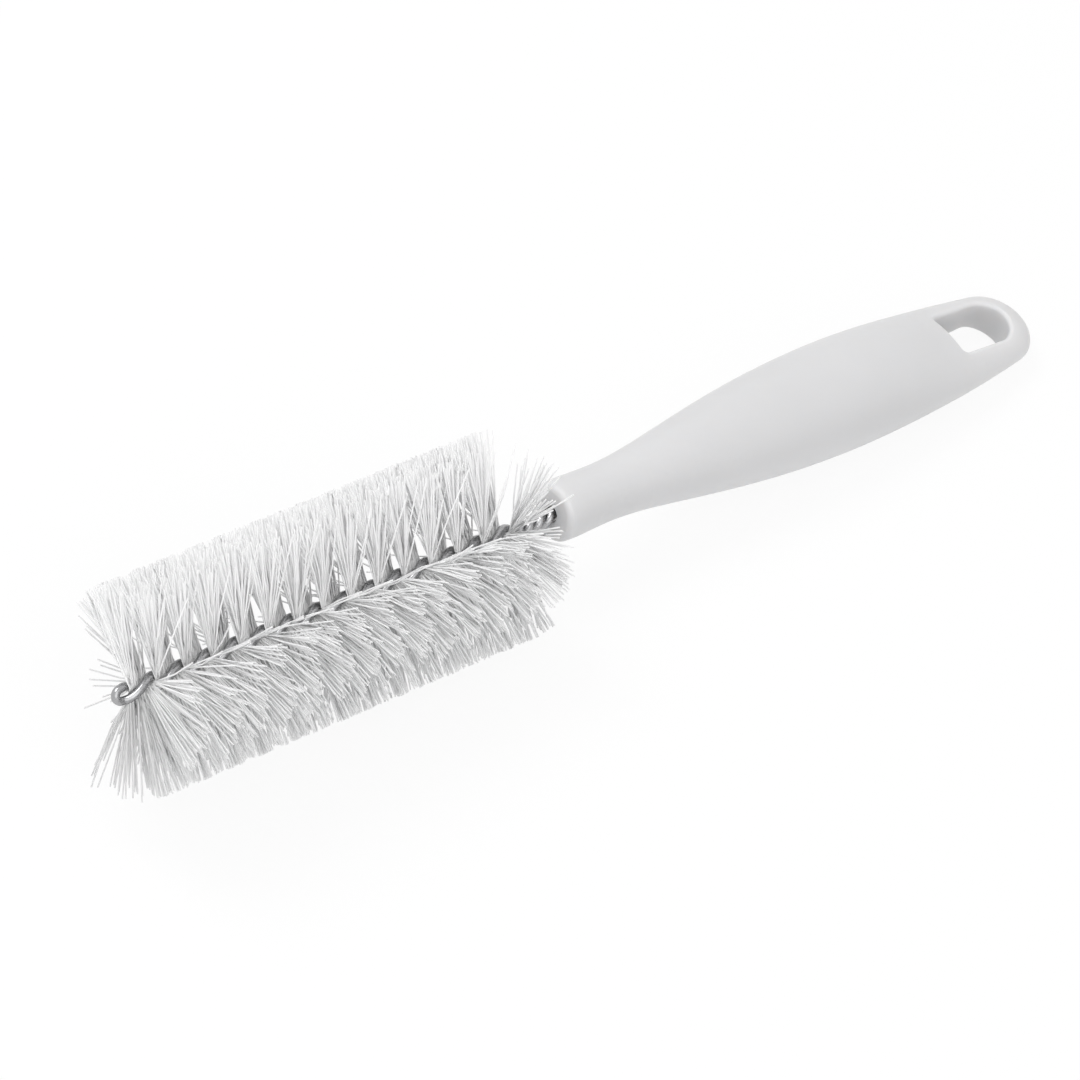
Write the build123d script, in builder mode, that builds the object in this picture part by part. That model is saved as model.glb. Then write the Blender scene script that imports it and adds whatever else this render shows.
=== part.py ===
from build123d import *
import os
from math import atan2, ceil, cos, degrees, pi, radians, sin, tan

os.makedirs("parts", exist_ok=True)

# Twisted-in-wire bottle brush, in millimetres.
# It is drawn along X, with the handle's front face at x = 0, the eye at +X and the bristles at -X.
# It is then tipped into its rest on a table, on the last bristles before the neck and the end of the eye.

# Bristle head
brush_diameter = 50.0
half_turn_length = 8.3
half_turns = 14
filament = 0.38
filament_gap = 0.03
first_strand_angle = 11.5

# Wire: one length bent double, its two strands twisted left-handed
wire_diameter = 2.1
strand_gap = 0.04
tight_lay = 1.6
neck_length = 12.9
neck_blend = 4.0
tip_bare = 1.95
bend_reach = 1.95
steps_per_turn = 10
steps_in_bend = 7
wire_sides = 8

# Handle: half widths and half thicknesses of its oval sections, from the front to the eye
handle_length = 158.0
front_radius = 7.2
front_rounding = 1.5
neck_end = 20.0
shoulder_x = 36.0
shoulder_half_width = 9.0
shoulder_half_thickness = 8.7
swell_x = 60.0
swell_half_width = 12.3
swell_half_thickness = 11.2
grip_x = 92.0
grip_half_width = 14.3
grip_half_thickness = 12.5
waist_x = 114.0
waist_half_width = 14.15
waist_half_thickness = 10.0
brow_x = 130.0
brow_half_width = 13.3
brow_half_thickness = 6.6
eye_half_width = 11.1
eye_half_thickness = 5.3
cap_angles = (0, 30, 50, 66, 78, 86)

# Hanging eye: straight towards the grip, round towards the end
hole_half_width = 6.3
hole_rim = 7.2
hole_length = 20.0
hole_corner = 1.6
hole_rounding = 0.8

# Socket in the handle for the wire
socket_depth = 24.0
socket_clearance = 0.05
socket_end_gap = 0.5

# Places along the axis
head_end_x = -neck_length
head_start_x = head_end_x - half_turns * half_turn_length
bend_x = head_start_x - tip_bare
rows_per_turn = int(half_turn_length / (filament + filament_gap))
row_pitch = half_turn_length / rows_per_turn

# Twist of the two strands
strand_radius = wire_diameter / 2
wire_end_x = socket_depth - socket_end_gap - strand_radius
lay_offset = (filament + filament_gap) / 2
chord_factor = 1 / cos(pi / steps_per_turn)
head_strand_offset = lay_offset + filament / 2 + filament_gap + strand_radius
neck_strand_offset = strand_radius + strand_gap / 2
head_rate = 180.0 / half_turn_length
neck_rate = 180.0 / (tight_lay * wire_diameter)
socket_radius = (neck_strand_offset + strand_radius) * chord_factor + socket_clearance


def blend_share(x):
    """How far the strands have closed up into the tight neck, from 0 to 1."""
    share = min(max((x - head_end_x) / neck_blend, 0.0), 1.0)
    return share * share * (3 - 2 * share)


def twist_rate(x):
    """Degrees of twist in each millimetre of length."""
    return head_rate + (neck_rate - head_rate) * blend_share(x)


def twist_angle(x):
    """Direction of the first strand from the axis, in degrees from +Y."""
    past = max(x - head_end_x, 0.0) / neck_blend
    gained = past**3 - past**4 / 2 if past < 1 else past - 0.5
    extra = (neck_rate - head_rate) * neck_blend * gained
    return first_strand_angle - head_rate * (x - head_start_x) - extra


def strand_offset(x):
    """Distance of a strand's corners from the axis, so that its runs keep their clearance."""
    offset = head_strand_offset + (neck_strand_offset - head_strand_offset) * blend_share(x)
    return offset * chord_factor


def beside_axis(x, offset):
    """Point at x, that far from the axis along the line through both strands."""
    angle = radians(twist_angle(x))
    return (x, offset * cos(angle), offset * sin(angle))


def strand_stops():
    """Places along the axis that are equal steps of twist apart, from the bend to the wire's end."""
    turned = twist_angle(bend_x) - twist_angle(wire_end_x)
    steps = ceil(turned / 360 * steps_per_turn)
    stops = [bend_x]
    for _ in range(steps - 1):
        middle = stops[-1] + turned / steps / twist_rate(stops[-1]) / 2
        stops.append(stops[-1] + turned / steps / twist_rate(middle))
    return stops + [wire_end_x]


def wire_corners():
    """Corners of the wire's path: up one strand, round the bend at the tip and back down the other."""
    stops = strand_stops()
    outward = [beside_axis(x, strand_offset(x)) for x in reversed(stops)]
    bend = []
    for step in range(1, steps_in_bend):
        angle = pi * step / steps_in_bend
        bend.append(beside_axis(bend_x - bend_reach * sin(angle), strand_offset(bend_x) * cos(angle)))
    back = [beside_axis(x, -strand_offset(x)) for x in stops]
    return outward + bend + back


def filament_places():
    """Places of the first half turn's filaments, which lie side by side in pairs between the strands."""
    places = []
    for row in range(rows_per_turn):
        x = head_start_x + (row + 0.5) * row_pitch
        for side in (-1, 1):
            across = Location((0, side * lay_offset, 0))
            places.append(Location((x, 0, 0), (twist_angle(x), 0, 0)) * across)
    return places


def rest_tilt():
    """Angle to the table when the last bristles and the underside of the eye's end both touch it."""
    last_row_x = head_end_x - row_pitch / 2
    row_angle = radians(twist_angle(last_row_x))
    row_half_width = lay_offset + filament / 2
    bristle_drop = brush_diameter / 2 * abs(cos(row_angle)) + row_half_width * abs(sin(row_angle))
    cap_x = handle_length - eye_half_width
    tilt = atan2(bristle_drop - eye_half_thickness, cap_x - last_row_x)
    cap_angle = atan2(eye_half_width * tan(tilt), eye_half_thickness)
    contact_x = cap_x + eye_half_width * sin(cap_angle)
    contact_drop = eye_half_thickness * cos(cap_angle)
    return degrees(atan2(bristle_drop - contact_drop, contact_x - last_row_x))


def handle_sections():
    """Place, half width and half thickness of each oval section of the handle."""
    sections = [
        (0.0, front_radius, front_radius),
        (neck_end / 2, front_radius, front_radius),
        (neck_end, front_radius, front_radius),
        (shoulder_x, shoulder_half_width, shoulder_half_thickness),
        (swell_x, swell_half_width, swell_half_thickness),
        (grip_x, grip_half_width, grip_half_thickness),
        (waist_x, waist_half_width, waist_half_thickness),
        (brow_x, brow_half_width, brow_half_thickness),
    ]
    for angle in cap_angles:
        share = cos(radians(angle))
        x = handle_length - eye_half_width * (1 - sin(radians(angle)))
        sections.append((x, eye_half_width * share, eye_half_thickness * share))
    return sections


# Handle: one moulding, round at the front, oval in the grip and flattened at the eye
with BuildPart() as handle:
    for section_x, half_width, half_thickness in handle_sections():
        with BuildSketch(Plane.YZ.offset(section_x)):
            Ellipse(half_width, half_thickness)
    loft()
    fillet(handle.edges().group_by(Axis.X)[0], front_rounding)

    hole_end_x = handle_length - hole_rim
    hole_start_x = hole_end_x - hole_length
    with BuildSketch():
        with BuildLine():
            arc_x = hole_end_x - hole_half_width
            Polyline(
                (arc_x, hole_half_width),
                (hole_start_x, hole_half_width),
                (hole_start_x, -hole_half_width),
                (arc_x, -hole_half_width),
            )
            ThreePointArc((arc_x, -hole_half_width), (hole_end_x, 0), (arc_x, hole_half_width))
        hole_outline = make_face()
        fillet(hole_outline.vertices().group_by(Axis.X)[0], hole_corner)
    extrude(amount=grip_half_thickness, both=True, mode=Mode.SUBTRACT)
    fillet(handle.edges(Select.LAST).filter_by(GeomType.BSPLINE), hole_rounding)

    with Locations(Plane(origin=(0, 0, 0), z_dir=(-1, 0, 0))):
        Hole(socket_radius, socket_depth)

# Wire: both strands and the bend at the tip are one length, its straight runs mitred together
with BuildPart() as twisted_wire:
    with BuildLine() as wire_path:
        Polyline(*wire_corners())
    with BuildSketch(Plane(origin=wire_path.line @ 0, z_dir=wire_path.line % 0)):
        RegularPolygon(strand_radius, wire_sides)
    sweep(transition=Transition.RIGHT)

# Bristles: separate filaments that cross the axis between the strands
with BuildPart() as first_turn:
    with Locations(*filament_places()):
        Box(filament, filament, brush_diameter)

# Rest on the table, with the origin under the middle of the whole brush
handle.part.label = "handle"
twisted_wire.part.label = "twisted_wire"
pieces = [handle.part, twisted_wire.part]
for turn in range(half_turns):
    bristle_turn = first_turn.part.moved(Location((turn * half_turn_length, 0, 0)))
    bristle_turn.label = f"bristle_turn_{turn + 1:02d}"
    pieces.append(bristle_turn)

tilted = [piece.rotate(Axis.Y, rest_tilt()) for piece in pieces]
extent = Compound(tilted).bounding_box()
to_origin = Location((-extent.center().X, -extent.center().Y, -extent.min.Z))

for piece, turned in zip(pieces, tilted):
    resting = turned.moved(to_origin)
    resting.label = piece.label
    export_step(resting, f"parts/{piece.label}.step")
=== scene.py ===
"""Looks of a twisted-wire bottle brush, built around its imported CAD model.

Sizes are in millimetres in the brush's own frame: X along the brush with x = 0 at the handle's
front face, the eye at +X and the bristles at -X, Z across the eye's flat. Rest lays that frame on
the table.
"""

import logging
from dataclasses import dataclass, field
from enum import Enum
from math import cos, pi, radians, sin

import bpy
import numpy as np
from mathutils import Matrix, Vector


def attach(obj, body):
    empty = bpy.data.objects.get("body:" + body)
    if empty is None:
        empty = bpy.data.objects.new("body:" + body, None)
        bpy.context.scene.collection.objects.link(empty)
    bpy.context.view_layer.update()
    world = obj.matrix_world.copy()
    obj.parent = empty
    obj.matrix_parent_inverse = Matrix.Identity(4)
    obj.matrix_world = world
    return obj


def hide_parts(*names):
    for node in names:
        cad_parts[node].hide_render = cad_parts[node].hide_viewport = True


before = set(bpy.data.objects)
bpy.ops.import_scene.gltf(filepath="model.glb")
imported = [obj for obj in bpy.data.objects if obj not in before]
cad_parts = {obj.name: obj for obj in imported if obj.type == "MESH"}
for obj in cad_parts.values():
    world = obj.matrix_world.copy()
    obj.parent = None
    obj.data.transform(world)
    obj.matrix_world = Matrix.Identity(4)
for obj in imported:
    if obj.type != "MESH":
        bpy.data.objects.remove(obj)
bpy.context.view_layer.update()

MM = 0.001
ROOT_BODY = "root"
EYE_TURN = 31.4  # degrees by which the eye's flat is turned from facing the camera
NOISE_RANGE = (0.3, 0.7)  # where nearly all values of a noise texture fall
AXIS = np.array([1.0, 0.0, 0.0])  # along the brush, towards the eye
TINY = 1e-9

Colour = tuple[float, float, float]
Table = tuple[tuple[float, float], ...]

log = logging.getLogger("bottle_brush")


class Slot(Enum):
    """Names of the material slots."""

    HANDLE = "handle_plastic"
    WIRE = "galvanised_wire"
    BRISTLES = "bristle_nylon"


def smooth_step(share: np.ndarray) -> np.ndarray:
    """Ease from 0 to 1 with level ends."""
    held = np.clip(share, 0.0, 1.0)
    return held * held * (3 - 2 * held)


def deselect_all() -> None:
    """Leave object mode with nothing selected."""
    if bpy.context.object is not None and bpy.context.object.mode != "OBJECT":
        bpy.ops.object.mode_set(mode="OBJECT")
    bpy.ops.object.select_all(action="DESELECT")


@dataclass(frozen=True)
class Rest:
    """How the brush lies on the table: tipped about Y, then moved to have its middle at the origin.

    Attributes:
        tilt: degrees by which it is tipped.
        shift_x: how far it is moved along the table after that.
        shift_z: how far it is lifted.
    """

    tilt: float = 6.660323
    shift_x: float = -11.924
    shift_z: float = 22.4576

    def turn(self, vectors: np.ndarray) -> np.ndarray:
        """Turn directions of the brush's own frame into the table's.

        Args:
            vectors: directions, one to a row.

        Returns:
            The same directions as the brush lies.
        """
        c, s = cos(radians(self.tilt)), sin(radians(self.tilt))
        x, y, z = np.moveaxis(np.asarray(vectors, float), -1, 0)
        return np.stack([x * c + z * s, y, z * c - x * s], axis=-1)

    def place(self, points: np.ndarray) -> np.ndarray:
        """Place points of the brush's own frame, in metres, where the CAD has them.

        Args:
            points: points in millimetres, one to a row.

        Returns:
            The same points on the table, in metres.
        """
        return (self.turn(points) + np.array([self.shift_x, 0.0, self.shift_z])) * MM

    def lift(self, points: np.ndarray, least: float) -> np.ndarray:
        """Lift points that would be too near the table.

        Args:
            points: points in millimetres, in the brush's own frame.
            least: least height above the table.

        Returns:
            The points, none of them lower than that.
        """
        height = self.turn(points)[..., 2] + self.shift_z
        upward = np.array([-sin(radians(self.tilt)), 0.0, cos(radians(self.tilt))])
        return points + np.maximum(least - height, 0.0)[..., None] * upward


@dataclass(frozen=True)
class Twist:
    """The left-handed twist of the two strands, open in the head and tight in the neck.

    Attributes:
        half_turn: length of a half turn in the head.
        half_turns: how many of them carry bristles.
        first_angle: direction of the first strand at the head's start, in degrees from +Y.
        head_end: where the head ends and the neck begins.
        neck_blend: length over which the strands close up.
        tight_half_turn: length of a half turn in the neck.
        head_offset: distance of each strand's centre from the axis in the head.
        neck_offset: the same in the neck.
    """

    half_turn: float = 8.3
    half_turns: int = 14
    first_angle: float = 11.5
    head_end: float = -12.9
    neck_blend: float = 4.0
    tight_half_turn: float = 3.36
    head_offset: float = 1.475
    neck_offset: float = 1.07

    @property
    def head_start(self) -> float:
        """Place of the first bristles, next to the tip."""
        return self.head_end - self.half_turns * self.half_turn

    def angle(self, x: np.ndarray) -> np.ndarray:
        """Direction of the first strand from the axis.

        Args:
            x: places along the axis.

        Returns:
            Angles from +Y, in radians.
        """
        head_rate = 180.0 / self.half_turn
        neck_rate = 180.0 / self.tight_half_turn
        past = np.maximum(np.asarray(x, float) - self.head_end, 0.0) / self.neck_blend
        gained = np.where(past < 1, past**3 - past**4 / 2, past - 0.5)
        extra = (neck_rate - head_rate) * self.neck_blend * gained
        return np.radians(self.first_angle - head_rate * (x - self.head_start) - extra)

    def offset(self, x: np.ndarray) -> np.ndarray:
        """Distance of each strand's centre from the axis."""
        share = smooth_step((np.asarray(x, float) - self.head_end) / self.neck_blend)
        return self.head_offset + (self.neck_offset - self.head_offset) * share

    def across(self, x: np.ndarray) -> np.ndarray:
        """Directions from the axis to the first strand, one to a row."""
        angle = self.angle(x)
        return np.stack([np.zeros_like(angle), np.cos(angle), np.sin(angle)], axis=-1)

    def along_filament(self, x: np.ndarray) -> np.ndarray:
        """Directions of filaments that lie square between the strands, one to a row."""
        angle = self.angle(x)
        return np.stack([np.zeros_like(angle), -np.sin(angle), np.cos(angle)], axis=-1)


class Nodes:
    """A short way to lay out one node tree."""

    def __init__(self, tree: bpy.types.NodeTree) -> None:
        """Start on a tree."""
        self.tree = tree

    def add(self, kind: str, **settings: object) -> bpy.types.Node:
        """Add a node.

        Args:
            kind: the node's Blender type.
            settings: properties to set on it.

        Returns:
            The new node.
        """
        node = self.tree.nodes.new(kind)
        for name, value in settings.items():
            setattr(node, name, value)
        return node

    def link(self, source: bpy.types.NodeSocket, target: bpy.types.NodeSocket) -> None:
        """Join an output to an input."""
        self.tree.links.new(source, target)


def mottle_group() -> bpy.types.NodeTree:
    """Build the cloudy unevenness that every finish here shares, once.

    Returns:
        A shader node group with inputs for the place, both scales and the grain's share, and
        outputs Cloud, Grain and Height.
    """
    name = "cloud_and_grain"
    if name in bpy.data.node_groups:
        return bpy.data.node_groups[name]
    group = bpy.data.node_groups.new(name, "ShaderNodeTree")
    sockets = group.interface
    sockets.new_socket("Vector", in_out="INPUT", socket_type="NodeSocketVector")
    for label, value in (("Cloud Scale", 60.0), ("Grain Scale", 900.0), ("Grain Share", 0.5)):
        socket = sockets.new_socket(label, in_out="INPUT", socket_type="NodeSocketFloat")
        socket.default_value = value
    for label in ("Cloud", "Grain", "Height"):
        sockets.new_socket(label, in_out="OUTPUT", socket_type="NodeSocketFloat")
    nodes = Nodes(group)
    given = nodes.add("NodeGroupInput")
    result = nodes.add("NodeGroupOutput")
    cloud = nodes.add("ShaderNodeTexNoise")
    cloud.inputs["Detail"].default_value = 3.0
    cloud.inputs["Roughness"].default_value = 0.55
    grain = nodes.add("ShaderNodeTexNoise")
    grain.inputs["Detail"].default_value = 2.0
    height = nodes.add("ShaderNodeMix", data_type="FLOAT")
    nodes.link(given.outputs["Vector"], cloud.inputs["Vector"])
    nodes.link(given.outputs["Vector"], grain.inputs["Vector"])
    nodes.link(given.outputs["Cloud Scale"], cloud.inputs["Scale"])
    nodes.link(given.outputs["Grain Scale"], grain.inputs["Scale"])
    nodes.link(given.outputs["Grain Share"], height.inputs["Factor"])
    nodes.link(cloud.outputs["Fac"], height.inputs[2])
    nodes.link(grain.outputs["Fac"], height.inputs[3])
    nodes.link(cloud.outputs["Fac"], result.inputs["Cloud"])
    nodes.link(grain.outputs["Fac"], result.inputs["Grain"])
    nodes.link(height.outputs[0], result.inputs["Height"])
    return group


@dataclass(frozen=True)
class Finish:
    """What every finish here has: two clouded tones, a gloss that varies and a fine bump.

    Attributes:
        name: the material's name.
        light: its lighter tone.
        dark: its darker tone.
        roughness: least and greatest roughness.
        cloud_scale: scale of the clouds.
        grain_scale: scale of the grain.
        grain_share: how much of the bump is grain.
        bump: strength of the bump.
        bump_depth: its depth in metres.
    """

    name: str
    light: Colour
    dark: Colour
    roughness: tuple[float, float]
    cloud_scale: float
    grain_scale: float
    grain_share: float
    bump: float
    bump_depth: float

    def start(self) -> tuple[bpy.types.Material, Nodes, bpy.types.Node, bpy.types.Node]:
        """Make the material with its clouded colour, gloss and bump.

        Returns:
            The material, its nodes, the Principled BSDF and the shared group's node.
        """
        material = bpy.data.materials.new(self.name)
        material.use_nodes = True
        nodes = Nodes(material.node_tree)
        shader = material.node_tree.nodes["Principled BSDF"]
        place = nodes.add("ShaderNodeTexCoord")
        mottle = nodes.add("ShaderNodeGroup", node_tree=mottle_group())
        mottle.inputs["Cloud Scale"].default_value = self.cloud_scale
        mottle.inputs["Grain Scale"].default_value = self.grain_scale
        mottle.inputs["Grain Share"].default_value = self.grain_share
        nodes.link(place.outputs["Object"], mottle.inputs["Vector"])
        tone = nodes.add("ShaderNodeMix", data_type="RGBA")
        tone.name = "tone"
        tone.inputs[6].default_value = (*self.dark, 1.0)
        tone.inputs[7].default_value = (*self.light, 1.0)
        nodes.link(mottle.outputs["Cloud"], tone.inputs["Factor"])
        nodes.link(tone.outputs[2], shader.inputs["Base Color"])
        gloss = nodes.add("ShaderNodeMapRange")
        gloss.inputs["From Min"].default_value = NOISE_RANGE[0]
        gloss.inputs["From Max"].default_value = NOISE_RANGE[1]
        gloss.inputs["To Min"].default_value = self.roughness[0]
        gloss.inputs["To Max"].default_value = self.roughness[1]
        nodes.link(mottle.outputs["Grain"], gloss.inputs["Value"])
        nodes.link(gloss.outputs["Result"], shader.inputs["Roughness"])
        bump = nodes.add("ShaderNodeBump")
        bump.inputs["Strength"].default_value = self.bump
        bump.inputs["Distance"].default_value = self.bump_depth
        nodes.link(mottle.outputs["Height"], bump.inputs["Height"])
        nodes.link(bump.outputs["Normal"], shader.inputs["Normal"])
        return material, nodes, shader, mottle


@dataclass(frozen=True)
class MilkyPolypropylene(Finish):
    """Unpigmented polypropylene: milky, softly glossy, with light that spreads under its skin."""

    name: str = "milky_polypropylene"
    light: Colour = (0.69, 0.69, 0.70)
    dark: Colour = (0.63, 0.63, 0.635)
    roughness: tuple[float, float] = (0.36, 0.46)
    cloud_scale: float = 22.0
    grain_scale: float = 700.0
    grain_share: float = 0.35
    bump: float = 0.05
    bump_depth: float = 0.0004
    spread: float = 1.0
    spread_depth: float = 0.005
    spread_colour: Colour = (1.0, 0.95, 0.9)
    refraction: float = 1.49

    def build(self) -> bpy.types.Material:
        """Make the material.

        Returns:
            The finished material.
        """
        material, _, shader, _ = self.start()
        shader.inputs["Subsurface Weight"].default_value = self.spread
        shader.inputs["Subsurface Scale"].default_value = self.spread_depth
        shader.inputs["Subsurface Radius"].default_value = self.spread_colour
        shader.inputs["IOR"].default_value = self.refraction
        return material


@dataclass(frozen=True)
class GalvanisedSteel(Finish):
    """Zinc-coated steel wire: mid grey, half dull, with a fine spangle."""

    name: str = "galvanised_steel"
    light: Colour = (0.56, 0.56, 0.57)
    dark: Colour = (0.22, 0.22, 0.225)
    roughness: tuple[float, float] = (0.18, 0.34)
    cloud_scale: float = 420.0
    grain_scale: float = 2600.0
    grain_share: float = 0.5
    bump: float = 0.18
    bump_depth: float = 0.00008

    def build(self) -> bpy.types.Material:
        """Make the material.

        Returns:
            The finished material.
        """
        material, _, shader, _ = self.start()
        shader.inputs["Metallic"].default_value = 1.0
        return material


@dataclass(frozen=True)
class NylonFilament(Finish):
    """Natural nylon: each filament has its own tone and lighter cut ends, with painted fill light
    that makes it lighter at its root and darker towards its tip.
    """

    name: str = "nylon_filament"
    light: Colour = (0.99, 0.99, 0.99)
    dark: Colour = (0.78, 0.78, 0.79)
    roughness: tuple[float, float] = (0.30, 0.44)
    cloud_scale: float = 180.0
    grain_scale: float = 1800.0
    grain_share: float = 0.4
    bump: float = 0.06
    bump_depth: float = 0.00005
    tone_and_fill_attribute: str = "filament_tone_and_painted_fill"
    cut_attribute: str = "cut_end"
    cut_colour: Colour = (0.88, 0.88, 0.88)
    cut_share: float = 0.6
    cloud_share: float = 0.15
    sheen: float = 0.35
    sheen_roughness: float = 0.5
    spread: float = 1.0
    spread_depth: float = 0.0003
    spread_colour: Colour = (1.0, 1.0, 1.0)
    refraction: float = 1.53

    def build(self) -> bpy.types.Material:
        """Make the material.

        Returns:
            The finished material.
        """
        material, nodes, shader, mottle = self.start()
        tone = material.node_tree.nodes["tone"]
        # reads each filament's own tone together with painted fill light that lightens the root and
        # darkens the tip
        own = nodes.add("ShaderNodeAttribute", attribute_name=self.tone_and_fill_attribute)
        both = nodes.add("ShaderNodeMix", data_type="FLOAT")
        both.inputs["Factor"].default_value = self.cloud_share
        nodes.link(own.outputs["Fac"], both.inputs[2])
        nodes.link(mottle.outputs["Cloud"], both.inputs[3])
        nodes.link(both.outputs[0], tone.inputs["Factor"])
        cut = nodes.add("ShaderNodeAttribute", attribute_name=self.cut_attribute)
        end = nodes.add("ShaderNodeMix", data_type="RGBA")
        end.inputs[7].default_value = (*self.cut_colour, 1.0)
        nodes.link(cut.outputs["Fac"], end.inputs["Factor"])
        nodes.link(tone.outputs[2], end.inputs[6])
        nodes.link(end.outputs[2], shader.inputs["Base Color"])
        shader.inputs["IOR"].default_value = self.refraction
        shader.inputs["Sheen Weight"].default_value = self.sheen
        shader.inputs["Sheen Roughness"].default_value = self.sheen_roughness
        shader.inputs["Subsurface Weight"].default_value = self.spread
        shader.inputs["Subsurface Scale"].default_value = self.spread_depth
        shader.inputs["Subsurface Radius"].default_value = self.spread_colour
        return material


@dataclass
class Handle:
    """The moulded handle, which keeps its CAD shape."""

    finish: MilkyPolypropylene = field(default_factory=MilkyPolypropylene)

    def build(self) -> bpy.types.Object:
        """Dress the CAD handle.

        Returns:
            The handle's object.
        """
        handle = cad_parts["handle"]
        handle.data.materials.clear()
        handle.data.materials.append(self.finish.build())
        return handle


@dataclass
class TwistedWire:
    """One wire bent double at the tip, its strands twisted together.

    Attributes:
        twist: the strands' twist.
        rest: how the brush lies.
        finish: the wire's steel.
        diameter: thickness of the wire.
        tip_bare: bare length between the first bristles and the bend.
        bend_reach: how far the bend stands out.
        wire_end: where both ends stop in the socket.
        step: degrees of twist between two points of the route.
        fine_steps: steps in which the twist is measured along the axis.
        steps_in_bend: steps of the bend.
        bevel_steps: Blender's bevel resolution of the round section.
        merge_distance: distance in metres under which points are merged.
        smooth_angle: degrees up to which an edge is shaded smooth.
    """

    twist: Twist
    rest: Rest
    finish: GalvanisedSteel = field(default_factory=GalvanisedSteel)
    diameter: float = 2.1
    tip_bare: float = 1.95
    bend_reach: float = 1.95
    wire_end: float = 22.45
    step: float = 14.0
    fine_steps: int = 6000
    steps_in_bend: int = 14
    bevel_steps: int = 4
    merge_distance: float = 1e-7
    smooth_angle: float = 50.0

    def stops(self) -> np.ndarray:
        """Find places along the axis that are an even step of twist apart.

        Returns:
            The places, from the bend to the wire's end.
        """
        bend = self.twist.head_start - self.tip_bare
        fine = np.linspace(bend, self.wire_end, self.fine_steps)
        turned = np.degrees(self.twist.angle(fine[0]) - self.twist.angle(fine))
        count = int(turned[-1] / self.step)
        return np.interp(np.linspace(0.0, turned[-1], count + 1), turned, fine)

    def route(self) -> np.ndarray:
        """Lay out the wire's centre line: up one strand, round the bend and back down the other.

        Returns:
            Points in millimetres, one to a row.
        """
        stops = self.stops()
        axis = stops[:, None] * AXIS
        reach = self.twist.across(stops) * self.twist.offset(stops)[:, None]
        turn = np.linspace(0.0, pi, self.steps_in_bend + 1)[1:-1]
        bend = axis[0] + reach[0] * np.cos(turn)[:, None]
        bend[:, 0] -= self.bend_reach * np.sin(turn)
        return np.concatenate([(axis + reach)[::-1], bend, axis - reach])

    def build(self) -> bpy.types.Object:
        """Model the wire as a bevelled curve, make it a mesh and dress it.

        Returns:
            The wire's object.
        """
        points = self.rest.place(self.route())
        curve = bpy.data.curves.new("twisted_wire_round", "CURVE")
        curve.dimensions = "3D"
        curve.bevel_depth = self.diameter / 2 * MM
        curve.bevel_resolution = self.bevel_steps
        curve.use_fill_caps = True
        spline = curve.splines.new("POLY")
        spline.points.add(len(points) - 1)
        spline.points.foreach_set("co", np.c_[points, np.ones(len(points))].ravel())
        wire = bpy.data.objects.new("twisted_wire_round", curve)
        bpy.context.scene.collection.objects.link(wire)
        deselect_all()
        wire.select_set(True)
        bpy.context.view_layer.objects.active = wire
        bpy.ops.object.convert(target="MESH")
        wire = bpy.context.object
        bpy.ops.object.mode_set(mode="EDIT")
        bpy.ops.mesh.select_all(action="SELECT")
        bpy.ops.mesh.remove_doubles(threshold=self.merge_distance)
        bpy.ops.mesh.normals_make_consistent(inside=False)
        bpy.ops.object.mode_set(mode="OBJECT")
        bpy.ops.object.shade_smooth_by_angle(angle=radians(self.smooth_angle))
        wire.data.materials.clear()
        wire.data.materials.append(self.finish.build())
        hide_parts("twisted_wire")
        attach(wire, ROOT_BODY)
        return wire


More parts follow.
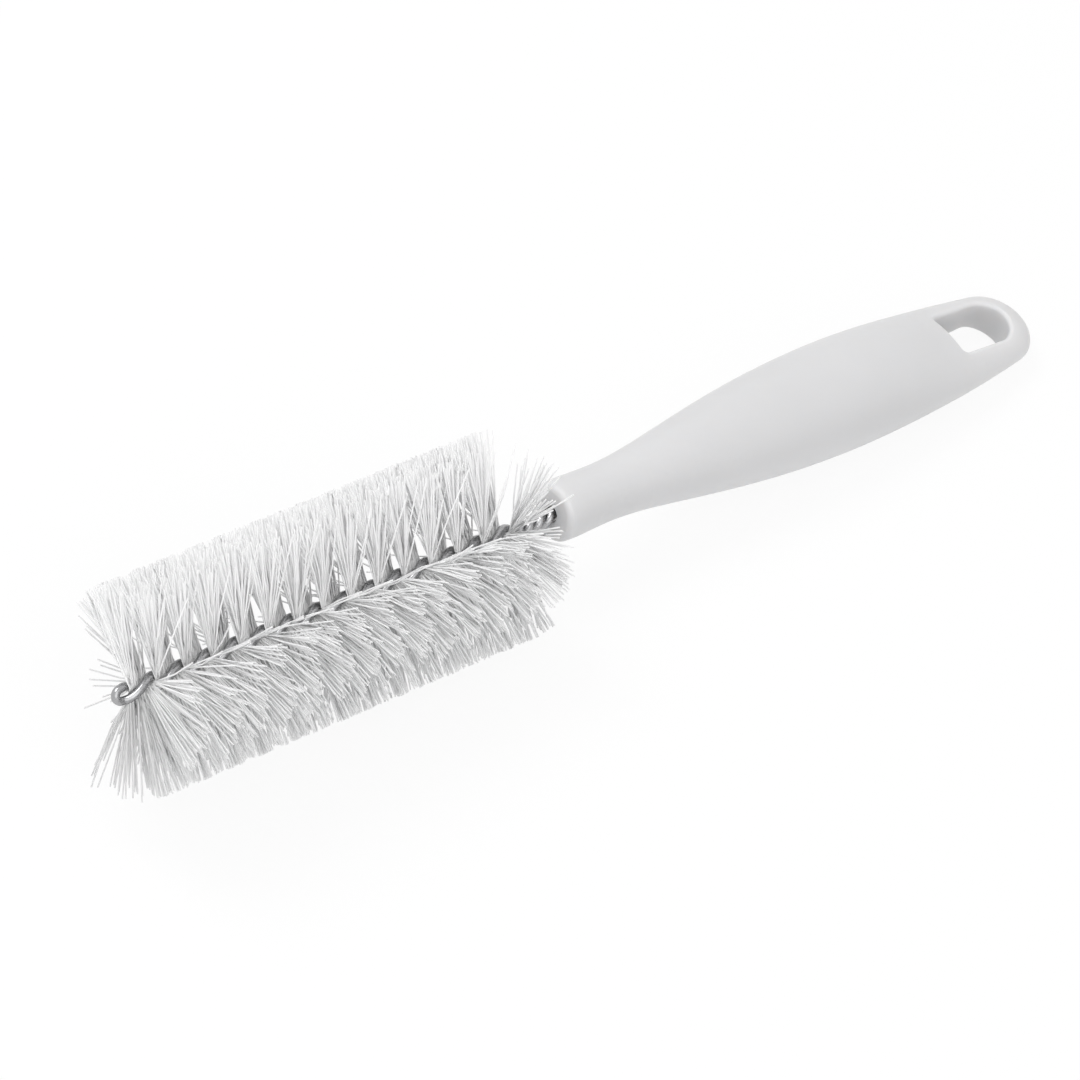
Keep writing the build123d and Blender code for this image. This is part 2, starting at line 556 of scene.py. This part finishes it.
@dataclass(frozen=True)
class Combing:
    """How use has combed the bristles: up above a parting that faces the camera, down below it.

    Angles run from the top of the picture towards the camera and on to its foot, in degrees. The
    tables hold pairs of an angle as a filament leaves the wire and what it gets there. Their
    values at negative angles, on the far side, are chosen to fill the gaps between near tufts.

    Attributes:
        eye_turn: turn of the eye's flat from facing the camera.
        band: angles between which a filament lies along the wire.
        on_wire: where those filaments point.
        on_wire_spread: how far to each side of that they point.
        above: combed angles above the parting.
        below: combed angles below the parting.
        leans: leans towards the handle.
        swings: unevenness of the turn about the wire.
        splays: unevenness of the lean.
        on_wire_swing: unevenness of the turn for filaments along the wire.
        on_wire_splay: unevenness of their lean.
    """

    eye_turn: float = EYE_TURN
    band: tuple[float, float] = (88.2, 90.4)
    on_wire: float = 90.0
    on_wire_spread: float = 0.5
    above: Table = (
        (-180.0, -180.0), (-135.0, -138.0), (-91.0, -104.0), (-89.0, -20.0), (-42.0, -15.0),
        (0.0, 3.0), (48.0, 28.0), (88.1, 40.0),
    )
    below: Table = ((90.5, 103.0), (106.0, 112.0), (135.0, 134.0), (180.0, 180.0))
    leans: Table = (
        (-180.0, -2.0), (-90.0, 5.0), (-45.0, 8.0), (0.0, 7.0), (34.0, -3.0), (60.0, -8.0),
        (86.0, -13.0), (100.0, -12.0), (135.0, -8.0), (180.0, -2.0),
    )
    swings: Table = (
        (-180.0, 6.0), (-120.0, 13.0), (-91.0, 18.0), (-60.0, 17.0), (-20.0, 7.0), (0.0, 5.0),
        (30.0, 6.0), (180.0, 4.5),
    )
    splays: Table = (
        (-180.0, 2.0), (-60.0, 6.0), (0.0, 2.0), (45.0, 7.0), (75.0, 11.0), (88.1, 14.0),
        (91.0, 2.0), (180.0, 2.0),
    )
    on_wire_swing: float = 0.8
    on_wire_splay: float = 1.5

    def angle(self, directions: np.ndarray) -> np.ndarray:
        """Angles of directions, one to a row, from -180 to 180."""
        from_y = np.degrees(np.arctan2(directions[:, 2], directions[:, 1]))
        return (from_y - self.eye_turn + 180.0) % 360.0 - 180.0

    def is_on_wire(self, angles: np.ndarray) -> np.ndarray:
        """Whether each filament is one of the few that lie along the wire."""
        return (angles > self.band[0]) & (angles < self.band[1])

    def turned(self, angles: np.ndarray, on_wire: float) -> np.ndarray:
        """Angles of the filaments' ends after combing.

        Args:
            angles: angles as the filaments leave the wire.
            on_wire: where the few filaments that lie along the wire point.

        Returns:
            The combed angles.
        """
        spread = self.on_wire_spread
        line = ((self.band[0], on_wire - spread), (self.band[1], on_wire + spread))
        return np.interp(angles, *zip(*self.above, *line, *self.below))

    def uneven(
        self, angles: np.ndarray, table: Table, on_wire: float, rng: np.random.Generator
    ) -> np.ndarray:
        """Draw an unevenness for each filament.

        Args:
            angles: angles as the filaments leave the wire.
            table: its usual size at each angle.
            on_wire: its usual size for filaments that lie along the wire.
            rng: the seeded source of unevenness.

        Returns:
            Degrees, one for each filament.
        """
        size = np.where(self.is_on_wire(angles), on_wire, np.interp(angles, *zip(*table)))
        return rng.normal(0.0, 1.0, len(angles)) * size

    def leaned(self, angles: np.ndarray, rng: np.random.Generator) -> np.ndarray:
        """Lean of each filament towards the handle, with its unevenness."""
        uneven = self.uneven(angles, self.splays, self.on_wire_splay, rng)
        return np.interp(angles, *zip(*self.leans)) + uneven

    def unevenness(self, angles: np.ndarray, rng: np.random.Generator) -> np.ndarray:
        """Uneven turn of each filament about the wire."""
        return self.uneven(angles, self.swings, self.on_wire_swing, rng)


@dataclass(frozen=True)
class Roots:
    """Where the filaments of one half turn are held, mostly one value or row for each filament.

    Attributes:
        tufts: how many tufts there are.
        tuft: number of the filament's tuft.
        beside: its place in the tuft, from -1 to 1.
        place: its place along the axis.
        line: its direction as it leaves the wire.
        across: direction from the axis to the first strand there.
        gap: its distance from the axis, between the strands.
        past_head: whether its tuft stands past the head's end.
        on_wire: where filaments that lie along the wire point.
    """

    tufts: int
    tuft: np.ndarray
    beside: np.ndarray
    place: np.ndarray
    line: np.ndarray
    across: np.ndarray
    gap: np.ndarray
    past_head: np.ndarray
    on_wire: float


@dataclass
class BristleHead:
    """Nylon filaments pinched between the strands, in tufts that fan out to a trimmed cylinder.

    Attributes:
        twist: the strands' twist.
        rest: how the brush lies.
        finish: the nylon.
        combing: how the filaments are combed.
        radius: radius of the trimmed head.
        filament: thickness of a filament.
        tufts_per_turn: tufts in a half turn.
        filaments_per_tuft: filaments in a tuft.
        tufts_past_end: tufts more in the last half turn.
        first_tuft: place of the first tuft, as a share of a half turn.
        tuft_shift: unevenness of a tuft's place.
        root_spread: half length over which a tuft is held.
        root_gap: greatest distance of a filament from the axis where it is held.
        last_root: last place where a filament is held.
        follow: how far a filament's direction follows its own place and not its tuft's.
        end_share: share of a half turn before the head's end from which a tuft counts as past it.
        turn_past_end: turn of the near filaments past the head's end.
        most_turn: greatest angle that this gives them.
        lean_past_end: their extra lean.
        turns_at_neck: half turns with another angle along the wire.
        on_wire_at_neck: that angle.
        fan: lean of a tuft's outermost filaments.
        tuft_lean: unevenness of a tuft's lean.
        end_lean: lean outwards at the tip and the neck.
        end_lean_shares: least and greatest share of it that a filament gets.
        end_reach: length over which it fades.
        most_lean: greatest lean of all.
        bow: unevenness of a filament's bow.
        uneven_trim: unevenness of its length.
        trim_depth: how far inside the radius the longest filaments end.
        held_share: share of the radius over which a filament is held straight.
        own_share: how much of a filament's tone is its own, the rest painted fill light that falls
            from root to tip, lighter where the head is shaded inside.
        softness: how far shading normals are blended outwards.
        soft_core: distance from the axis inside which that blend fades.
        sides: sides of a filament.
        ring_shares: places of its rings, as shares of its reach.
        seed: seed of the random draws.
    """

    twist: Twist
    rest: Rest
    finish: NylonFilament = field(default_factory=NylonFilament)
    combing: Combing = field(default_factory=Combing)
    radius: float = 25.0
    filament: float = 0.38
    tufts_per_turn: int = 4
    filaments_per_tuft: int = 38
    tufts_past_end: int = 1
    first_tuft: float = 0.14
    tuft_shift: float = 0.1
    root_spread: float = 1.04
    root_gap: float = 0.2
    last_root: float = -11.2
    follow: float = 0.65
    end_share: float = 0.25
    turn_past_end: float = 25.0
    most_turn: float = 80.0
    lean_past_end: float = -13.0
    turns_at_neck: int = 2
    on_wire_at_neck: float = 100.0
    fan: float = 3.0
    tuft_lean: float = 1.2
    end_lean: float = 14.0
    end_lean_shares: tuple[float, float] = (0.1, 1.2)
    end_reach: float = 3.0
    most_lean: float = 19.0
    bow: float = 0.35
    uneven_trim: float = 0.3
    trim_depth: float = 0.05
    held_share: float = 0.03
    own_share: float = 0.3
    softness: float = 0.4
    soft_core: float = 1.0
    sides: int = 5
    ring_shares: tuple[float, ...] = (-1.0, -0.5, -0.055, 0.0, 0.055, 0.5, 1.0)
    seed: int = 71

    def prototype(self) -> tuple[np.ndarray, list[tuple[int, ...]]]:
        """Model one filament: a thin closed tube with a ring at each bend.

        Returns:
            Unit offsets of a ring's corners, as (side, 2), and the tube's faces.
        """
        turns = np.arange(self.sides) * 2 * pi / self.sides
        circle = np.stack([np.cos(turns), np.sin(turns)], axis=-1)
        faces: list[tuple[int, ...]] = []
        rings = len(self.ring_shares)
        for ring in range(rings - 1):
            low = ring * self.sides
            high = low + self.sides
            for side in range(self.sides):
                after = (side + 1) % self.sides
                faces.append((low + side, low + after, high + after, high + side))
        faces.append(tuple(range(self.sides))[::-1])
        faces.append(tuple(range((rings - 1) * self.sides, rings * self.sides)))
        return circle, faces

    def lay_roots(self, turn: int, rng: np.random.Generator) -> Roots:
        """Lay out where the filaments of one half turn are held.

        Args:
            turn: which half turn, from 0 at the tip.
            rng: the seeded source of unevenness.

        Returns:
            The filaments' roots.
        """
        twist, tufts = self.twist, self.tufts_per_turn
        if turn == twist.half_turns - 1:
            tufts += self.tufts_past_end
        tuft = np.repeat(np.arange(tufts), self.filaments_per_tuft)
        start = twist.head_start + turn * twist.half_turn
        shift = rng.normal(0.0, self.tuft_shift, tufts)[tuft]
        share = self.first_tuft + tuft / self.tufts_per_turn
        middle = start + share * twist.half_turn + shift
        beside = rng.uniform(-1, 1, len(tuft))
        root = middle + beside * self.root_spread
        root = self.last_root - np.abs(self.last_root - root)
        aimed = middle + (root - middle) * self.follow
        at_neck = turn >= twist.half_turns - self.turns_at_neck
        return Roots(
            tufts=tufts,
            tuft=tuft,
            beside=beside,
            place=root,
            line=twist.along_filament(aimed),
            across=twist.across(aimed),
            gap=rng.uniform(-1, 1, len(tuft)) * self.root_gap,
            past_head=middle > twist.head_end - self.end_share * twist.half_turn,
            on_wire=self.on_wire_at_neck if at_neck else self.combing.on_wire,
        )

    def comb_end(
        self, roots: Roots, end: int, rng: np.random.Generator
    ) -> tuple[np.ndarray, np.ndarray]:
        """Comb one end of every filament.

        Args:
            roots: where the filaments are held.
            end: which end, -1 or 1.
            rng: the seeded source of unevenness.

        Returns:
            Leans towards the handle and swings about the wire, in radians.
        """
        tuft_lean = rng.normal(0.0, self.tuft_lean, roots.tufts)[roots.tuft]
        leaving = self.combing.angle(end * roots.line)
        lean = roots.beside * self.fan + self.combing.leaned(leaving, rng) + tuft_lean
        past_tip = np.exp(-(roots.place - self.twist.head_start) / self.end_reach)
        past_neck = np.exp(-(self.last_root - roots.place) / self.end_reach)
        shares = rng.uniform(*self.end_lean_shares, len(roots.tuft))
        lean += (past_neck - past_tip) * self.end_lean * shares
        past_end = roots.past_head & (leaving > 0) & (leaving < self.combing.band[0])
        lean = np.clip(lean + past_end * self.lean_past_end, -self.most_lean, self.most_lean)
        combed = self.combing.turned(leaving, roots.on_wire)
        turned_past_end = np.minimum(leaving + self.turn_past_end, self.most_turn)
        combed = np.where(past_end, turned_past_end, combed)
        swing = (self.combing.unevenness(leaving, rng) + leaving - combed) * end
        return np.radians(lean), np.radians(swing)

    def lay_end(
        self, roots: Roots, end: int, shares: np.ndarray, rng: np.random.Generator
    ) -> np.ndarray:
        """Lay out one end of every filament.

        Args:
            roots: where the filaments are held.
            end: which end, -1 or 1.
            shares: places of that end's rings, from 0 at the wire to 1 at the cut.
            rng: the seeded source of unevenness.

        Returns:
            Points in millimetres, as (filament, ring, xyz).
        """
        count = len(roots.tuft)
        lean, swing = self.comb_end(roots, end, rng)
        bow_along, bow_across = rng.normal(0.0, self.bow, (2, count))
        trim = self.radius - np.abs(rng.normal(0.0, self.uneven_trim, count)) - self.trim_depth
        points = np.zeros((count, len(shares), 3))
        for ring, share in enumerate(shares):
            reach = share * trim
            free = max(0.0, share - self.held_share)
            whole = max(share, TINY)
            arch = sin(pi * share)
            along = reach * np.tan(lean) * free / whole + bow_along * arch
            turned = reach * np.sin(swing) * free / whole + bow_across * arch
            out = np.sqrt(np.maximum(reach**2 - turned**2, 0.0))
            sideways = turned + roots.gap * (1 - smooth_step(share))
            points[:, ring] = (
                roots.place[:, None] * AXIS
                + along[:, None] * AXIS
                + (end * out)[:, None] * roots.line
                + sideways[:, None] * roots.across
            )
        return points

    def centre_lines(self, turn: int, rng: np.random.Generator) -> np.ndarray:
        """Lay out the filaments of one half turn.

        Args:
            turn: which half turn, from 0 at the tip.
            rng: the seeded source of unevenness.

        Returns:
            Points in millimetres, as (filament, ring, xyz).
        """
        roots = self.lay_roots(turn, rng)
        shares = np.array(self.ring_shares)
        points = np.zeros((len(roots.tuft), len(shares), 3))
        for end, rings in ((-1, shares < 0), (1, shares >= 0)):
            points[:, rings] = self.lay_end(roots, end, np.abs(shares[rings]), rng)
        return self.rest.lift(points, self.filament / 2)

    def sweep(self, lines: np.ndarray, circle: np.ndarray) -> np.ndarray:
        """Put the prototype's rings on every centre line.

        Args:
            lines: points as (filament, ring, xyz).
            circle: unit offsets as (side, 2).

        Returns:
            Vertices in millimetres, as (filament, ring, side, xyz).
        """
        along = np.gradient(lines, axis=1)
        along /= np.linalg.norm(along, axis=-1, keepdims=True)
        first = AXIS - along * along[..., :1]
        first /= np.linalg.norm(first, axis=-1, keepdims=True)
        second = np.cross(along, first)
        radius = self.filament / 2
        ring = first[..., None, :] * circle[:, :1] + second[..., None, :] * circle[:, 1:]
        return lines[..., None, :] + ring * radius

    def soft_normals(self, vertices: np.ndarray) -> np.ndarray:
        """Blend each filament's own shading normals outwards, as a mass that scatters light.

        Args:
            vertices: vertices in millimetres, as (filament, ring, side, xyz).

        Returns:
            Unit vectors on the table, one to a row.
        """
        middle = vertices.mean(axis=2, keepdims=True)
        own = vertices - middle
        own /= np.linalg.norm(own, axis=-1, keepdims=True)
        outward = middle * np.array([0.0, 1.0, 1.0])
        distance = np.linalg.norm(outward, axis=-1, keepdims=True)
        outward = outward / np.maximum(distance, self.soft_core)
        blend = own * (1.0 - self.softness) + outward * self.softness
        blend /= np.linalg.norm(blend, axis=-1, keepdims=True)
        return self.rest.turn(blend.reshape(-1, 3))

    def paint(self, mesh: bpy.types.Mesh, count: int, rng: np.random.Generator) -> None:
        """Give every vertex its filament's tone with painted fill light, lighter at the root and
        darker at the tip, and mark the cut ends.

        Args:
            mesh: the half turn's mesh.
            count: how many filaments it has.
            rng: the seeded source of unevenness.
        """
        # painted fill light: the tone rises towards the root, where the head is shaded inside, and
        # falls at the lit tips
        painted_root_fill = 1.0 - np.abs(np.array(self.ring_shares))
        own = rng.uniform(0.0, 1.0, count)[:, None] * self.own_share
        tone = own + painted_root_fill * (1.0 - self.own_share)
        cut = np.zeros_like(tone)
        cut[:, [0, -1]] = self.finish.cut_share
        for name, values in ((self.finish.tone_and_fill_attribute, tone), (self.finish.cut_attribute, cut)):
            attribute = mesh.attributes.new(name, "FLOAT", "POINT")
            attribute.data.foreach_set("value", np.repeat(values.ravel(), self.sides))

    def build_turn(
        self, turn: int, rng: np.random.Generator, material: bpy.types.Material
    ) -> bpy.types.Object:
        """Make the tufts of one half turn.

        Args:
            turn: which half turn, from 0 at the tip.
            rng: the seeded source of unevenness.
            material: the nylon.

        Returns:
            The half turn's object.
        """
        circle, tube = self.prototype()
        vertices = self.sweep(self.centre_lines(turn, rng), circle)
        count, rings, sides = vertices.shape[:3]
        faces = [
            tuple(corner + first for corner in face)
            for first in range(0, count * rings * sides, rings * sides)
            for face in tube
        ]
        name = f"bristle_tufts_{turn + 1:02d}"
        mesh = bpy.data.meshes.new(name)
        mesh.from_pydata(self.rest.place(vertices.reshape(-1, 3)), [], faces)
        mesh.polygons.foreach_set("use_smooth", np.ones(len(faces), bool))
        mesh.normals_split_custom_set_from_vertices(self.soft_normals(vertices).tolist())
        self.paint(mesh, count, rng)
        mesh.materials.append(material)
        mesh.update()
        tufts = bpy.data.objects.new(name, mesh)
        bpy.context.scene.collection.objects.link(tufts)
        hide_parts(f"bristle_turn_{turn + 1:02d}")
        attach(tufts, ROOT_BODY)
        return tufts

    def build(self) -> list[bpy.types.Object]:
        """Make every half turn.

        Returns:
            The half turns' objects, from the tip to the neck.
        """
        rng = np.random.default_rng(self.seed)
        material = self.finish.build()
        return [self.build_turn(turn, rng, material) for turn in range(self.twist.half_turns)]


@dataclass
class Studio:
    """Plain pale floor, soft light and the photograph's camera.

    Attributes:
        rest: how the brush lies.
        tip: the wire's bend, which the camera is placed by.
        tip_pixel: where the bend stands in the frame, from its left and top.
        eye_turn: turn of the eye's flat from facing the camera.
        away: degrees by which the brush points out of the picture plane.
        axis_slope: degrees by which its axis rises in the picture.
        distance: distance from the camera to the bend.
        focal_pixels: focal length in pixels.
        frame_pixels: side of the frame.
        sensor: the camera's sensor width.
        clip_end: how far the camera sees, in metres.
        floor_size: side of the floor in metres.
        floor_tone: grey of the floor under the lamps.
        floor_roughness: its roughness.
        floor_white: share of plain white that the camera sees in it.
        key_direction: where the key lamp stands, as shares right, up and back from the brush.
        key_power: its power in watts.
        key_size: its side in metres.
        fill_direction: where the fill lamp stands.
        fill_power: its power in watts.
        fill_size: its side in metres.
        lamp_distance: distance of both lamps in metres.
        sky: strength of the light from all round.
    """

    rest: Rest
    tip: tuple[float, float, float] = (-134.0, 0.0, 0.0)
    tip_pixel: tuple[float, float] = (112.0, 698.7)
    eye_turn: float = EYE_TURN
    away: float = 37.8
    axis_slope: float = 22.71
    distance: float = 1756.0
    focal_pixels: float = 7867.0
    frame_pixels: float = 1080.0
    sensor: float = 36.0
    clip_end: float = 20.0
    floor_size: float = 6.0
    floor_tone: float = 0.9
    floor_roughness: float = 0.9
    floor_white: float = 0.9
    key_direction: tuple[float, float, float] = (-0.3, 0.75, 0.6)
    key_power: float = 7.8
    key_size: float = 0.7
    fill_direction: tuple[float, float, float] = (0.25, 0.0, 1.0)
    fill_power: float = 6.0
    fill_size: float = 1.4
    lamp_distance: float = 1.5
    sky: float = 0.70

    def view_axes(self) -> np.ndarray:
        """Work out how the camera is turned.

        Returns:
            Its right, up and backward directions on the table, as rows.
        """
        turn, away = radians(self.eye_turn), radians(self.away)
        near = np.array([0.0, -sin(turn), cos(turn)])
        above = np.array([0.0, cos(turn), sin(turn)])
        back = cos(away) * near - sin(away) * AXIS
        seen = (AXIS + sin(away) * back) / cos(away)
        slope = radians(self.axis_slope)
        right = cos(slope) * seen - sin(slope) * above
        up = sin(slope) * seen + cos(slope) * above
        return self.rest.turn(np.array([right, up, back]))

    def add_camera(self) -> bpy.types.Object:
        """Add the camera at the photograph's viewpoint.

        Returns:
            The camera's object.
        """
        right, up, back = self.view_axes()
        half = self.frame_pixels / 2
        scale = self.distance / self.focal_pixels * MM
        to_right, to_top = half - self.tip_pixel[0], self.tip_pixel[1] - half
        place = self.rest.place(np.array([self.tip]))[0] + back * self.distance * MM
        place = place + right * to_right * scale + up * to_top * scale
        camera = bpy.data.cameras.new("camera")
        camera.sensor_width = self.sensor
        camera.lens = self.focal_pixels / self.frame_pixels * self.sensor
        camera.clip_end = self.clip_end
        holder = bpy.data.objects.new("camera", camera)
        rows = np.column_stack([right, up, back, place]).tolist()
        holder.matrix_world = Matrix([*rows, [0.0, 0.0, 0.0, 1.0]])
        bpy.context.scene.collection.objects.link(holder)
        bpy.context.scene.camera = holder
        return holder

    def add_floor(self) -> bpy.types.Object:
        """Add the floor, which shows white to the camera and keeps a soft shadow.

        Returns:
            The floor's object.
        """
        deselect_all()
        bpy.ops.mesh.primitive_plane_add(size=self.floor_size, location=(0.0, 0.0, 0.0))
        floor = bpy.context.object
        floor.name = "floor"
        material = bpy.data.materials.new("pale_floor")
        material.use_nodes = True
        nodes = Nodes(material.node_tree)
        shader = material.node_tree.nodes["Principled BSDF"]
        output = material.node_tree.nodes["Material Output"]
        shader.inputs["Base Color"].default_value = (*[self.floor_tone] * 3, 1.0)
        shader.inputs["Roughness"].default_value = self.floor_roughness
        shader.inputs["Specular IOR Level"].default_value = 0.0
        white = nodes.add("ShaderNodeEmission")
        blend = nodes.add("ShaderNodeMixShader")
        share = nodes.add("ShaderNodeMath", operation="MULTIPLY")
        share.inputs[1].default_value = self.floor_white
        nodes.link(self.seen_ray(nodes), share.inputs[0])
        nodes.link(share.outputs[0], blend.inputs[0])
        nodes.link(shader.outputs[0], blend.inputs[1])
        nodes.link(white.outputs[0], blend.inputs[2])
        nodes.link(blend.outputs[0], output.inputs["Surface"])
        floor.data.materials.append(material)
        return floor

    def seen_ray(self, nodes: Nodes) -> bpy.types.NodeSocket:
        """Add a mask that is 1 for camera, glossy and transmission rays.

        Args:
            nodes: the tree to add it to.

        Returns:
            The mask's socket.
        """
        path = nodes.add("ShaderNodeLightPath")
        first = nodes.add("ShaderNodeMath", operation="MAXIMUM")
        second = nodes.add("ShaderNodeMath", operation="MAXIMUM")
        nodes.link(path.outputs["Is Camera Ray"], first.inputs[0])
        nodes.link(path.outputs["Is Glossy Ray"], first.inputs[1])
        nodes.link(first.outputs[0], second.inputs[0])
        nodes.link(path.outputs["Is Transmission Ray"], second.inputs[1])
        return second.outputs[0]

    def add_sky(self) -> None:
        """Light evenly from all round, with white behind the object."""
        world = bpy.data.worlds.new("studio_sky")
        bpy.context.scene.world = world
        world.use_nodes = True
        nodes = Nodes(world.node_tree)
        light = world.node_tree.nodes["Background"]
        light.inputs["Color"].default_value = (1.0, 1.0, 1.0, 1.0)
        strength = nodes.add("ShaderNodeMapRange")
        strength.inputs["To Min"].default_value = self.sky
        strength.inputs["To Max"].default_value = 1.0
        nodes.link(self.seen_ray(nodes), strength.inputs["Value"])
        nodes.link(strength.outputs["Result"], light.inputs["Strength"])

    def add_lamp(
        self, name: str, direction: np.ndarray, power: float, size: float
    ) -> bpy.types.Object:
        """Add a square soft lamp that faces the brush.

        Args:
            name: the lamp's name.
            direction: where it stands from the brush.
            power: its power in watts.
            size: its side in metres.

        Returns:
            The lamp's object.
        """
        towards = Vector(direction).normalized()
        lamp = bpy.data.lights.new(name, "AREA")
        lamp.size = size
        lamp.energy = power
        holder = bpy.data.objects.new(name, lamp)
        holder.location = towards * self.lamp_distance
        holder.rotation_euler = towards.to_track_quat("Z", "Y").to_euler()
        bpy.context.scene.collection.objects.link(holder)
        return holder

    def add_lamps(self) -> None:
        """Add the key lamp, towards the picture's top, and a wide weaker one beside the camera."""
        axes = self.view_axes()
        key, fill = np.array([self.key_direction, self.fill_direction]) @ axes
        self.add_lamp("key_light", key, self.key_power, self.key_size)
        self.add_lamp("fill_light", fill, self.fill_power, self.fill_size)

    def build(self) -> None:
        """Set up the camera, the floor and the light."""
        self.add_camera()
        self.add_floor()
        self.add_sky()
        self.add_lamps()
        bpy.context.scene.view_settings.view_transform = "Standard"


def main() -> None:
    """Build the studio and the brush, and report each piece."""
    logging.basicConfig(level=logging.INFO, format="%(message)s")
    rest = Rest()
    twist = Twist()
    Studio(rest).build()
    pieces = [
        Handle().build(),
        TwistedWire(twist, rest).build(),
        *BristleHead(twist, rest).build(),
    ]
    for piece in pieces:
        log.info("%s: %d faces", piece.name, len(piece.data.polygons))


if __name__ == "__main__":
    main()
